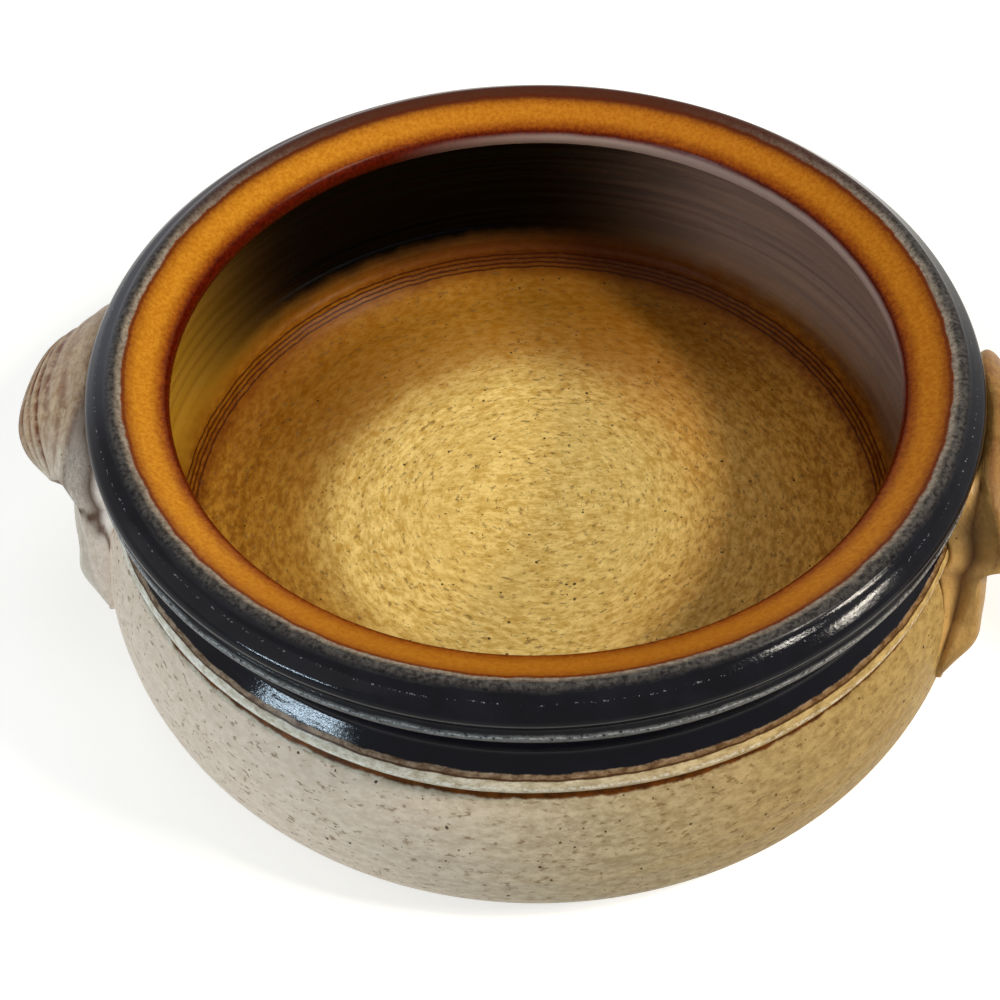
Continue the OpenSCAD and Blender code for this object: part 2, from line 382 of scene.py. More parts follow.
def dish_shape(around, along):
    """Marks of the wheel and the hand on the dish, in millimetres."""
    e = DISH.ends
    turning = around - along / SPIRAL_PITCH
    floor = between(along, 6, e["floor"], 6) * waver(turning, along, FLOOR_RIPPLE)
    rings = np.zeros_like(along)
    for i, at in enumerate(RINGS):
        rings += hump(along, at, RING_HALF) * (1 + RING_SWING * np.sin(around * 2 + 2 * i))
    wall = between(along, RINGS_AT + 6, e["under_lip"] - 4, 5) * waver(around, along, WALL_RIPPLE)
    roll = between(along, e["wall"] + 4, e["under_lip"] - 1, 3) * waver(around, along, ROLL_RIPPLE)
    neck = between(along, e["seat"] + 2, e["bead"], 1) * waver(around, along, NECK_RIPPLE)
    flare = between(along, e["neck"] - 1, e["cove"], 1) * waver(around, along, FLARE_RIPPLE)
    off_centre = (1 + np.cos(around - math.radians(RIM_OFF_TO))) / 2
    rim = between(along, e["seat"] + 5, e["ridge"] + 2, 3) * off_centre
    bead = between(along, e["cove"] + 2, e["bead"] + 1, 1.5) * waver(around, along, BEAD_RIPPLE)
    body = between(along, e["bead"] + 3, e["belly"] - 8, 4) * waver(around, along, BODY_RIPPLE)
    return floor - RING_DEPTH * rings + wall + roll + neck + flare + bead + body + RIM_OFF * rim


def stay(points):
    """Points of the dish stand where they are turned."""
    return points


# Handles


def tip_share(u):
    """Share of the width that is left where a tail's tip rounds off."""
    t = np.maximum(np.abs(u) - TIP_FROM, 0) / (1 - TIP_FROM)
    return np.maximum(np.sqrt(np.maximum(1 - t * t, 0)), TIP_END)


def wall_radius(z):
    """Radius of the outside of the dish at height z."""
    start = np.searchsorted(DISH.along(), DISH.ends["groove"])
    stop = np.searchsorted(DISH.along(), DISH.ends["belly"])
    r, h = DISH.points[start : stop + 1].T
    return np.interp(z, h[::-1], r[::-1])


TAIL_R = float(wall_radius(TAIL_Z))


def leg_line(z):
    """Radius at height z of the line that a leg follows, from its tail's tip to the shoulder bead."""
    return TAIL_R + (NECK_R + BEAD_OUT - TAIL_R) * (z - TAIL_Z) / (BEAD_Z - TAIL_Z)


def strap_path(u):
    """Middle line of a strap in the handle's own direction, from one tail's tip, -1, to the other, 1."""
    a = np.minimum(np.abs(u), 1)
    rise = np.maximum(np.cos(np.pi / 2 * a), 0) ** ARCH_SQUARE
    spread = LEG_ANGLE * np.sin(np.pi / 2 * a) ** ARCH_SQUARE + TAIL_SPREAD * a**SPREAD_POWER
    turn = np.sign(u) * np.radians(spread)
    z = TAIL_Z + (STRAP_Z - TAIL_Z) * rise
    foot = TAIL_OFF * tip_share(u)
    stand = STRAP_R - leg_line(STRAP_Z) - foot
    r = leg_line(z) + foot + stand * rise**RISE_POWER - 4 * LEG_DIP * rise * (1 - rise)
    return np.stack([r * np.cos(turn), r * np.sin(turn), z], -1)


def along_strap(u, top, leg, tail):
    """A value that is top on the strap's outermost run, leg down its legs and tail at its tips."""
    thin = np.maximum(np.abs(u) - THIN_FROM, 0) / (1 - THIN_FROM)
    return top + (leg - top) * eased(np.abs(u), BEND_FROM, BEND_TO) + (tail - leg) * thin * thin


# Grooves pulled along the strap by the fingers: place across it, half width and depth
PULLED = ((0.64, 0.05, 0.45), (0.40, 0.06, 0.65), (0.16, 0.08, 0.7), (-0.12, 0.12, 0.5), (-0.5, 0.14, 0.4))
PULLED_TO = (0.36, 0.56)
# How much further in than the solid's edge the strap is pulled towards the neck, and the legs drawn in
INNER_EXTRA = 4.0
LEG_SLIM = 4.5
# How far the strap's outer edge was trimmed on the half that lies further away, and where along it
TRIM = 2.8
TRIM_AT = 0.24
TRIM_HALF = 0.24
# Where a leg's underside comes to lie on the dish
PRESS_FROM = 0.18
PRESS_TO = 0.48
# The strap's end stands proud of its tail along a slanting edge
STEP_SOFT = 0.02
STEP_DEPTH = 4.2
TAIL_FULL = 0.82
TAIL_SWELL = 2.4
SWELL_AT = 0.9
SWELL_HALF = 0.07
STEP_CURVE = 1.5
# The luted roll of clay along a leg's side and the groove beside it: how far out and in, their places on the
# section from its underside, -1, to its face, 1, and half widths, and where along the leg they start
ROLL_OUT = 1.3
ROLL_AT = -0.48
ROLL_HALF = 0.14
ROLL_DIP = 1.1
DIP_AT = -0.14
DIP_HALF = 0.14
LUTED_FROM = 0.34
LUTED_SOFT = 0.08
# Shares of the section over which its face, its underside and its inner side begin
FACE = (0.1, 0.7)
UNDERSIDE = (-0.2, 0.7)
INNER_SIDE = (0.5, 0.9)
# How much the section's points are drawn together towards its edges
SIDE_BUNCH = 0.25
# Over how much of the strap the held width fades, and where the legs are drawn in and widen again
HELD_FADE = 0.3
SLIM_IN = (0.36, 0.62)
SLIM_OUT = (0.84, 1)
# Where the glaze broke brown, by place and half width: the strap's outer edge and the legs' sharp edges.
# Brown
# with painted shade: the seam at the strap's end and the grooves on both sides of the luted roll
BROWN_EDGE = (0.86, 0.09)
BROWN_ARRIS = (0.5, 0.16)
BROWN_SEAM_AND_SHADE = (0.008, 0.024)
WEDGE_BROWN_AND_SHADE = ((-0.14, 0.09), (-0.82, 0.07))
# A groove of this depth in millimetres is brown all through, and the share of brown on the edges
GROOVE_BROWN = 0.4
EDGE_SHARE = 0.9
ARRIS_SHARE = 0.6
# How far the strokes across the strap run over its edges
STROKE_WRAP = 0.35

# How one handle was made: the end that lies further away, how far the strap is held at its full width, where
# its end stands proud of the tail and how that edge slants, how far the leg is luted, and its seam's brown
# and painted shade
Making = namedtuple("Making", "far held_to step_from step_slant luted_to seam_share")
LEFT_MADE = Making(-1, 0.4, 0.51, 0.52, 0.74, 1.0)
RIGHT_MADE = Making(1, 0.58, 0.62, 0.14, 0.92, 0.25)


def strap_marks(u, across):
    """How deep the pulled grooves in the strap's face are, in millimetres."""
    depth = np.zeros_like(across)
    for n, (place, half, deep) in enumerate(PULLED):
        middle = place + 0.04 * np.sin(5 * u + n) + 0.02 * np.sin(13 * u + 2 * n)
        depth += deep * hump(across, middle, half) * (0.7 + 0.3 * np.sin(4 * u + 3 * n))
    return depth * (1 - eased(np.abs(u), *PULLED_TO))


def strap_axes(u):
    """Middle, facing and sideways directions of the strap at u."""
    at = strap_path(u)
    ahead = strap_path(np.minimum(u + 0.005, 1)) - strap_path(np.maximum(u - 0.005, -1))
    ahead /= np.linalg.norm(ahead, axis=-1, keepdims=True)
    out = at * [1, 1, 0]
    out /= np.linalg.norm(out, axis=-1, keepdims=True)
    lean = np.radians(along_strap(u, STRAP_TILT, LEG_TILT, TAIL_TILT))[..., None]
    up = out * np.sin(lean) + np.array([0, 0, 1]) * np.cos(lean)
    face = up - ahead * (up * ahead).sum(-1, keepdims=True)
    face /= np.linalg.norm(face, axis=-1, keepdims=True)
    return at, face, np.cross(ahead, face)


def strap_fields(made, u, across, through, past, luted, grooves):
    """How brown and seamed the strap's glaze is, with painted shade along its seam and creases and painted
    light on its inner side, and where along and across it each point lies.
    """
    a = np.abs(u) + 0 * across
    edge = hump(across, *BROWN_EDGE) * eased(through, -0.2, 0.3) * (1 - eased(a, 0.4, 0.55))
    arris = hump(through, *BROWN_ARRIS) * (across < -0.6) * between(a, 0.18, 0.56, 0.06)
    # The seam under the strap's end and the creases beside the luted roll: brown glaze with painted shade
    seam = hump(past, *BROWN_SEAM_AND_SHADE) * between(a, 0.4, 0.86, 0.03) * made.seam_share
    wedge_and_shade = sum(hump(through, *place) for place in WEDGE_BROWN_AND_SHADE) * luted
    pooled = grooves * (0.5 + 0.5 * eased(made.far * u, -0.5, 0)) / GROOVE_BROWN
    return {
        "brown": np.clip(pooled + EDGE_SHARE * edge + ARRIS_SHARE * arris, 0, 1),
        "seam": np.clip(seam + wedge_and_shade, 0, 1),
        # Painted light on the strap's inner side, which lies in shade
        "cheek_painted_light": eased(-across, *INNER_SIDE) * (1 - eased(through, 0.3, 0.7)) * eased(a, 0.15, 0.35),
        "length": u + 0 * across,
        "across": across + STROKE_WRAP * through,
    }


def strap_rings(made):
    """Points of a strap in the handle's own direction, ring by ring, and its fields for the glaze."""
    w = np.linspace(-1, 1, STRAP_RINGS + 1)
    u = (np.sign(w) * (1 - (1 - np.abs(w)) ** RING_POWER))[:, None]
    v = np.arange(STRAP_SIDES)[None, :] * 2 * np.pi / STRAP_SIDES
    v = v + SIDE_BUNCH * np.sin(2 * v)
    at, face, side = strap_axes(u)
    across = np.sign(np.cos(v)) * np.abs(np.cos(v)) ** STRAP_SQUARE + 0 * u
    through = np.sign(np.sin(v)) * np.abs(np.sin(v)) ** STRAP_SQUARE + 0 * u
    a = np.abs(u) + 0 * v

    pulled_in = INNER_EXTRA * (1 - eased(a, made.held_to - HELD_FADE, made.held_to))
    drawn_in = LEG_SLIM * eased(a, *SLIM_IN) * (1 - eased(a, *SLIM_OUT))
    trim = TRIM * hump(made.far * u, TRIM_AT, TRIM_HALF)
    wide = along_strap(u, STRAP_W, LEG_W, TAIL_W) * tip_share(u) / 2
    wide = wide + np.where(across < 0, pulled_in - drawn_in, -trim)
    luted = eased(-across, *INNER_SIDE) * between(a, LUTED_FROM, made.luted_to, LUTED_SOFT)
    roll = ROLL_OUT * hump(through, ROLL_AT, ROLL_HALF) - ROLL_DIP * hump(through, DIP_AT, DIP_HALF)
    sideways = wide * across - roll * luted

    past = a - made.step_from - made.step_slant * ((1 - through) / 2) ** STEP_CURVE
    proud = 1 - eased(past, -STEP_SOFT, STEP_SOFT)
    drop = STEP_DEPTH * (1 - proud) * (1 - eased(a, made.step_from, TAIL_FULL))
    swell = TAIL_SWELL * hump(a, SWELL_AT, SWELL_HALF) * tip_share(u)
    thick = along_strap(u, STRAP_T, STRAP_T, TAIL_T) * np.sqrt(tip_share(u)) / 2
    grooves = strap_marks(u + 0 * v, across) * eased(through, *FACE)
    lift = thick * through + (swell - drop) * np.maximum(through, 0) - grooves

    rings = at + side * sideways[..., None] + face * lift[..., None]
    radius = np.hypot(rings[..., 0], rings[..., 1])
    skin = wall_radius(rings[..., 2]) - LEG_BITE
    press = eased(a, PRESS_FROM, PRESS_TO) * eased(-through, *UNDERSIDE)
    pressed = np.maximum(skin, radius - press * np.maximum(radius - skin, 0))
    rings[..., :2] *= (pressed / radius)[..., None]
    return at, rings, strap_fields(made, u, across, through, past, luted, grooves)


def strap(name, direction, made):
    """A pulled strap handle: a section drawn along its arch, pressed on to the dish."""
    at, rings, fields = strap_rings(made)
    points = np.vstack([rings.reshape(-1, 3), at[0], at[-1]])
    turn = math.radians(direction)
    spin = np.array([[math.cos(turn), math.sin(turn), 0], [-math.sin(turn), math.cos(turn), 0], [0, 0, 1]])
    m = STRAP_SIDES
    faces = []
    for i in range(STRAP_RINGS):
        a = i * m
        b = a + m
        faces += [(a + j, a + (j + 1) % m, b + (j + 1) % m, b + j) for j in range(m)]
    first = STRAP_RINGS * m
    tip = (STRAP_RINGS + 1) * m
    faces += [(tip, (j + 1) % m, j) for j in range(m)]
    faces += [(tip + 1, first + j, first + (j + 1) % m) for j in range(m)]
    tips = {"length": (-1, 1)}
    fields = {key: np.concatenate([values.ravel(), tips.get(key, (0, 0))]) for key, values in fields.items()}
    return make_object(name, points @ spin, faces, fields)


# Lid and knob


def lid_foot(r):
    """Height of the lid's underside over the seat at radius r."""
    return DISH_H - (SEAT_R - r) * math.tan(SEAT_SLOPE) + SEAT_GAP / math.cos(SEAT_SLOPE)


def lid_profile():
    """The lid's section as it sits on the dish, from the middle of its top over its edge to its hollow."""
    p = Profile()
    side = (LID_R, lid_foot(LID_R) + LID_EDGE_H)
    above_edge = (LID_R, lid_foot(LID_R) + LID_ROUND)
    inside_edge = (LID_R - LID_ROUND, lid_foot(LID_R - LID_ROUND))
    flat_r = KNOB_FOOT_R + KNOB_RING_W
    under_z = LID_TOP_Z - LID_WALL
    foot = (LID_IN_R, lid_foot(LID_IN_R))
    hollow_corner = (LID_IN_R - HOLLOW_LEAN, under_z)
    p.add("top", line((0, LID_TOP_Z), (flat_r, LID_TOP_Z), 8))
    p.add("dome", rounded(side, (LID_R - LID_LEAN, LID_TOP_Z), (flat_r, LID_TOP_Z), (0.45, 0.54), 100)[::-1])
    p.add("edge", line(side, above_edge, 6))
    p.add("round", line(above_edge, inside_edge, 3))
    p.add("foot", line(inside_edge, foot, 9))
    p.add("hollow", rounded(foot, hollow_corner, (0, under_z), (0.75, 0.63), 110))
    return p


def knob_profile():
    """The knob's section, from its foot on the lid over its waist to the middle of its flat top."""
    p = Profile()
    edge = (KNOB_R, KNOB_TOP_Z - KNOB_EDGE_H)
    waist = [
        np.array(q, float)
        for q in (
            (KNOB_FOOT_R, LID_TOP_Z),
            (KNOB_WAIST_R, LID_TOP_Z + KNOB_H * WAIST_FROM),
            (KNOB_WAIST_R, LID_TOP_Z + KNOB_H * WAIST_TO),
            edge,
        )
    ]
    p.add("foot", line((0, LID_TOP_Z), (KNOB_FOOT_R, LID_TOP_Z), 6))
    p.add("waist", bezier(*waist, 40))
    p.add("edge", rounded(edge, (KNOB_R, KNOB_TOP_Z), (KNOB_FLAT_R, KNOB_TOP_Z), EVEN, 24))
    p.add("flat", line((KNOB_FLAT_R, KNOB_TOP_Z), (0, KNOB_TOP_Z), 14))
    return p


LID = lid_profile()
KNOB = knob_profile()
DOME_RIPPLE = Ripple(11, 2, 7, 0.12)
HOLLOW_RIPPLE = Ripple(12, 1, 7, 0.11)
WAIST_RIPPLE = Ripple(13, 2, 4, 0.08)
# The spiral on the knob's flat top: its depth and step
KNOB_SPIRAL = 0.12
KNOB_SPIRAL_STEP = 3.2


def lid_shape(around, along):
    """Marks of the wheel on the lid, in millimetres."""
    e = LID.ends
    turning = around - along / SPIRAL_PITCH
    dome = between(along, e["top"] + 6, e["dome"] - 10, 6) * waver(turning, along, DOME_RIPPLE)
    hollow = between(along, e["foot"] + 8, e["hollow"] - 6, 6) * waver(turning, along, HOLLOW_RIPPLE)
    return dome + hollow


def knob_shape(around, along):
    """Marks of the wheel on the knob, in millimetres."""
    e = KNOB.ends
    waist = between(along, e["foot"] + 3, e["waist"] - 3, 3) * waver(around, along, WAIST_RIPPLE)
    spiral = KNOB_SPIRAL * (1 + np.sin(2 * np.pi * along / KNOB_SPIRAL_STEP + around))
    return waist + between(along, e["edge"] + 1, e["flat"] - 3, 2) * spiral


def beside_dish(points):
    """Turns the lid over on its axis, on to the table beside the dish."""
    return points * [-1, 1, -1] + [2 * LID_AXIS_X, 0, 2 * LID_AXIS_Z]


# Materials


def srgb(red, green, blue):
    """A shader colour from a colour as seen on a screen, 0 to 255."""
    share = [c / 255 for c in (red, green, blue)]
    return tuple(c / 12.92 if c <= 0.04045 else ((c + 0.055) / 1.055) ** 2.4 for c in share) + (1.0,)


# The clear coat on the smoothest glaze: its roughness, its weight, and the roughness of the glaze at which it
# starts and is whole
COAT_ROUGH = 0.065
COAT_WEIGHT = 0.15
COAT_ON = (0.22, 0.14)
# How noise is sharpened into a pattern of two colours
CONTRAST = (0.34, 0.66)


class Graph:
    """Short calls that add the nodes of one material."""

    def __init__(self, name):
        self.material = bpy.data.materials.new(name)
        self.material.use_nodes = True
        self.tree = self.material.node_tree
        self.tree.nodes.clear()
        self.place = self.node("TexCoord").outputs["Object"]

    def node(self, kind, **settings):
        made = self.tree.nodes.new("ShaderNode" + kind)
        for key, value in settings.items():
            setattr(made, key, value)
        return made

    def put(self, socket, value):
        if isinstance(value, bpy.types.NodeSocket):
            self.tree.links.new(value, socket)
        else:
            socket.default_value = value

    def field(self, name):
        return self.node("Attribute", attribute_name=name).outputs["Fac"]

    def math(self, operation, a, b=0.0):
        made = self.node("Math", operation=operation)
        self.put(made.inputs[0], a)
        self.put(made.inputs[1], b)
        return made.outputs[0]

    def fade(self, value, start, stop):
        made = self.node("MapRange", interpolation_type="SMOOTHSTEP")
        self.put(made.inputs["Value"], value)
        made.inputs["From Min"].default_value = start
        made.inputs["From Max"].default_value = stop
        return made.outputs[0]

    def mix(self, share, a, b, kind="MIX"):
        made = self.node("Mix", data_type="RGBA", blend_type=kind)
        self.put(made.inputs[0], share)
        self.put(made.inputs[6], a)
        self.put(made.inputs[7], b)
        return made.outputs[2]

    def blend(self, share, a, b):
        made = self.node("Mix", data_type="FLOAT")
        self.put(made.inputs[0], share)
        self.put(made.inputs[2], a)
        self.put(made.inputs[3], b)
        return made.outputs[0]

    def stretched(self, x, y, z):
        """Coordinates with features of these sizes, in millimetres."""
        made = self.node("Mapping")
        self.put(made.inputs["Vector"], self.place)
        made.inputs["Scale"].default_value = (1 / (x * MM), 1 / (y * MM), 1 / (z * MM))
        return made.outputs[0]

    def wheeled(self, around, along):
        """Coordinates with features of these sizes around the wheel and along the profile, in millimetres."""
        flat = self.node("VectorMath", operation="MULTIPLY")
        self.put(flat.inputs[0], self.place)
        flat.inputs[1].default_value = (1 / (around * MM), 1 / (around * MM), 0)
        total = self.node("VectorMath", operation="ADD")
        self.put(total.inputs[0], flat.outputs[0])
        steps = self.math("MULTIPLY", self.field("along"), 1 / along)
        self.put(total.inputs[1], self.joined(0.0, 0.0, steps))
        return total.outputs[0]

    def joined(self, x, y, z):
        made = self.node("CombineXYZ")
        for socket, value in zip(made.inputs, (x, y, z)):
            self.put(socket, value)
        return made.outputs[0]

    def noise(self, vector, detail=3.0, roughness=0.55, distortion=0.0):
        made = self.node("TexNoise")
        self.put(made.inputs["Vector"], vector)
        made.inputs["Scale"].default_value = 1.0
        made.inputs["Detail"].default_value = detail
        made.inputs["Roughness"].default_value = roughness
        made.inputs["Distortion"].default_value = distortion
        return made.outputs["Fac"]

    def toward(self, azimuth):
        """Cosine of the angle between a point and this direction, seen from above."""
        flat = self.node("VectorMath", operation="MULTIPLY")
        self.put(flat.inputs[0], self.place)
        flat.inputs[1].default_value = (1, 1, 0)
        unit = self.node("VectorMath", operation="NORMALIZE")
        self.put(unit.inputs[0], flat.outputs[0])
        dot = self.node("VectorMath", operation="DOT_PRODUCT")
        self.put(dot.inputs[0], unit.outputs[0])
        dot.inputs[1].default_value = (math.cos(math.radians(azimuth)), math.sin(math.radians(azimuth)), 0)
        return dot.outputs["Value"]

    def specks(self, spacing, radius, share, flat=1.0):
        """Specks of about this radius, in a share of the cells of this spacing, in millimetres."""
        made = self.node("TexVoronoi")
        self.put(made.inputs["Vector"], self.stretched(spacing, spacing, spacing * flat))
        made.inputs["Scale"].default_value = 1.0
        apart = self.node("SeparateColor")
        self.put(apart.inputs[0], made.outputs["Color"])
        reach = self.math("MULTIPLY", apart.outputs[1], radius / spacing + 0.12)
        ragged = self.math("MULTIPLY", self.noise(self.stretched(0.5, 0.5, 0.5), 2.0), 0.25)
        near = self.math("LESS_THAN", self.math("ADD", made.outputs["Distance"], ragged), reach)
        chosen = self.math("LESS_THAN", apart.outputs[0], share)
        return self.math("MULTIPLY", near, chosen)

    def iron(self):
        """Specks of iron in the clay, of two sizes."""
        return self.math("MAXIMUM", self.specks(2.6, 0.5, 0.4), self.specks(1.7, 0.3, 0.3))

    def finish(self, colour, roughness, height, depth, gloss, coat=0.0):
        """A glaze of this colour, roughness, gloss and coat, with bumps of this depth in millimetres."""
        bumps = self.node("Bump")
        bumps.inputs["Strength"].default_value = 1.0
        bumps.inputs["Distance"].default_value = depth * MM
        self.put(bumps.inputs["Height"], height)
        shader = self.node("BsdfPrincipled")
        self.put(shader.inputs["Base Color"], colour)
        self.put(shader.inputs["Roughness"], roughness)
        self.put(shader.inputs["Normal"], bumps.outputs["Normal"])
        shader.inputs["Specular IOR Level"].default_value = gloss
        self.put(shader.inputs["Coat Weight"], coat)
        self.put(shader.inputs["Coat Normal"], bumps.outputs["Normal"])
        shader.inputs["Coat Roughness"].default_value = COAT_ROUGH
        output = self.node("OutputMaterial")
        self.put(output.inputs["Surface"], shader.outputs[0])
        return self.material


# One stretch of glaze: where it starts along the profile, how softly and how unevenly in millimetres,
# its light and dark colours, the pattern that mixes them, its roughness and how speckled it is
Zone = namedtuple("Zone", "start soft uneven light dark pattern rough specks")
# A thin uneven line of colour, for lines in the glaze and for painted glints and highlights along edges:
# where it lies, its half width, colour, strength and how broken it is
Line = namedtuple("Line", "at half colour strength broken")
# Colour on one side, for glaze that pooled or thinned there and for painted shadow, shade, sheen and light:
# the middle of that side and half its angle, where it starts and stops along the profile and over how many
# millimetres it fades, its colour, whether it darkens, strength
Patch = namedtuple("Patch", "azimuth half start stop soft colour kind strength")

# A patch fades between these shares of its half angle, with an edge as ragged as this share of its softness
PATCH_OUTER = 1.6
PATCH_INNER = 0.4
PATCH_RAGGED = 0.9
# How far in millimetres the thin lines wander
LINE_WANDER = 1.4
# Brown flecks in the speckled glaze and the iron specks' colour
FLECK_COLOUR = (108, 78, 42)
FLECK_SHARE = 0.7
IRON_COLOUR = (58, 38, 18)
# The floor's streaks follow the wheel from here on along the profile
WHEEL_STREAKS = (12, 46)
ROUGH_UNEVEN = 0.15
GLAZE_BUMPS = 0.03
GLAZE_GLOSS = 0.05


def glaze(name, zones, lines=(), patches=()):
    """A glaze that changes along the profile, from zone to zone."""
    g = Graph(name)
    along = g.field("along")
    slow = g.noise(g.stretched(60, 60, 60), 2.0)
    uneven = g.math("SUBTRACT", g.noise(g.stretched(7, 7, 7), 4.0, 0.65), 0.5)
    rings = g.joined(g.math("MULTIPLY", along, 0.4), g.math("MULTIPLY", slow, 3.0), 0.0)
    grain = g.noise(g.stretched(0.9, 0.9, 0.9), 3.0, 0.7)
    loose = g.noise(g.stretched(3.2, 1.6, 2.6), 5.0, 0.7)
    turned_way = g.noise(g.wheeled(3.6, 1.7), 5.0, 0.7)
    patterns = {
        "streaks": g.fade(g.blend(g.fade(along, *WHEEL_STREAKS), loose, turned_way), *CONTRAST),
        "dashes": g.fade(g.noise(g.stretched(3.4, 3.4, 1.8), 5.0, 0.72), *CONTRAST),
        "mottle": g.fade(g.noise(g.stretched(9, 9, 9), 5.0, 0.65), 0.3, 0.7),
        "frost": g.fade(g.noise(g.stretched(1.1, 1.1, 1.1), 4.0, 0.75), *CONTRAST),
        "lines": g.fade(g.noise(rings, 4.0, 0.65), 0.25, 0.75),
    }
    colour, rough, amount = None, None, None
    for zone in zones:
        tint = g.mix(patterns[zone.pattern], srgb(*zone.dark), srgb(*zone.light))
        if colour is None:
            colour, rough, amount = tint, zone.rough, zone.specks
            continue
        shifted = g.math("ADD", along, g.math("MULTIPLY", uneven, zone.uneven))
        share = g.fade(shifted, zone.start - zone.soft / 2, zone.start + zone.soft / 2)
        colour = g.mix(share, colour, tint)
        rough = g.blend(share, rough, zone.rough)
        amount = g.blend(share, amount, zone.specks)
    for patch in patches:
        outer = math.cos(math.radians(min(patch.half * PATCH_OUTER, 180)))
        inner = math.cos(math.radians(patch.half * PATCH_INNER))
        share = g.fade(g.toward(patch.azimuth), outer, inner)
        ragged = g.math("ADD", along, g.math("MULTIPLY", uneven, patch.soft * PATCH_RAGGED))
        share = g.math("MULTIPLY", share, g.fade(ragged, patch.start - patch.soft, patch.start + patch.soft))
        share = g.math("MULTIPLY", share, g.fade(ragged, patch.stop + patch.soft, patch.stop - patch.soft))
        share = g.math("MULTIPLY", share, patch.strength)
        colour = g.mix(share, colour, srgb(*patch.colour), patch.kind)
    wavy = g.math("ADD", along, g.math("MULTIPLY", uneven, LINE_WANDER))
    for thin in lines:
        away = g.math("ABSOLUTE", g.math("SUBTRACT", wavy, thin.at))
        there = g.math("GREATER_THAN", grain, thin.broken)
        share = g.math("MULTIPLY", g.fade(away, thin.half, thin.half * 0.3), there)
        colour = g.mix(g.math("MULTIPLY", share, thin.strength), colour, srgb(*thin.colour))
    flecks = g.fade(g.noise(g.wheeled(2.6, 1.3), 4.0, 0.62), 0.57, 0.66)
    flecked = g.math("MULTIPLY", flecks, g.math("MULTIPLY", amount, FLECK_SHARE))
    colour = g.mix(flecked, colour, srgb(*FLECK_COLOUR))
    colour = g.mix(g.math("MULTIPLY", g.iron(), amount), colour, srgb(*IRON_COLOUR))
    coat = g.math("MULTIPLY", g.fade(rough, *COAT_ON), COAT_WEIGHT)
    rough = g.math("ADD", rough, g.math("MULTIPLY", uneven, ROUGH_UNEVEN))
    height = g.math("ADD", g.math("MULTIPLY", patterns["lines"], 0.3), grain)
    return g.finish(colour, rough, height, GLAZE_BUMPS, GLAZE_GLOSS, coat)


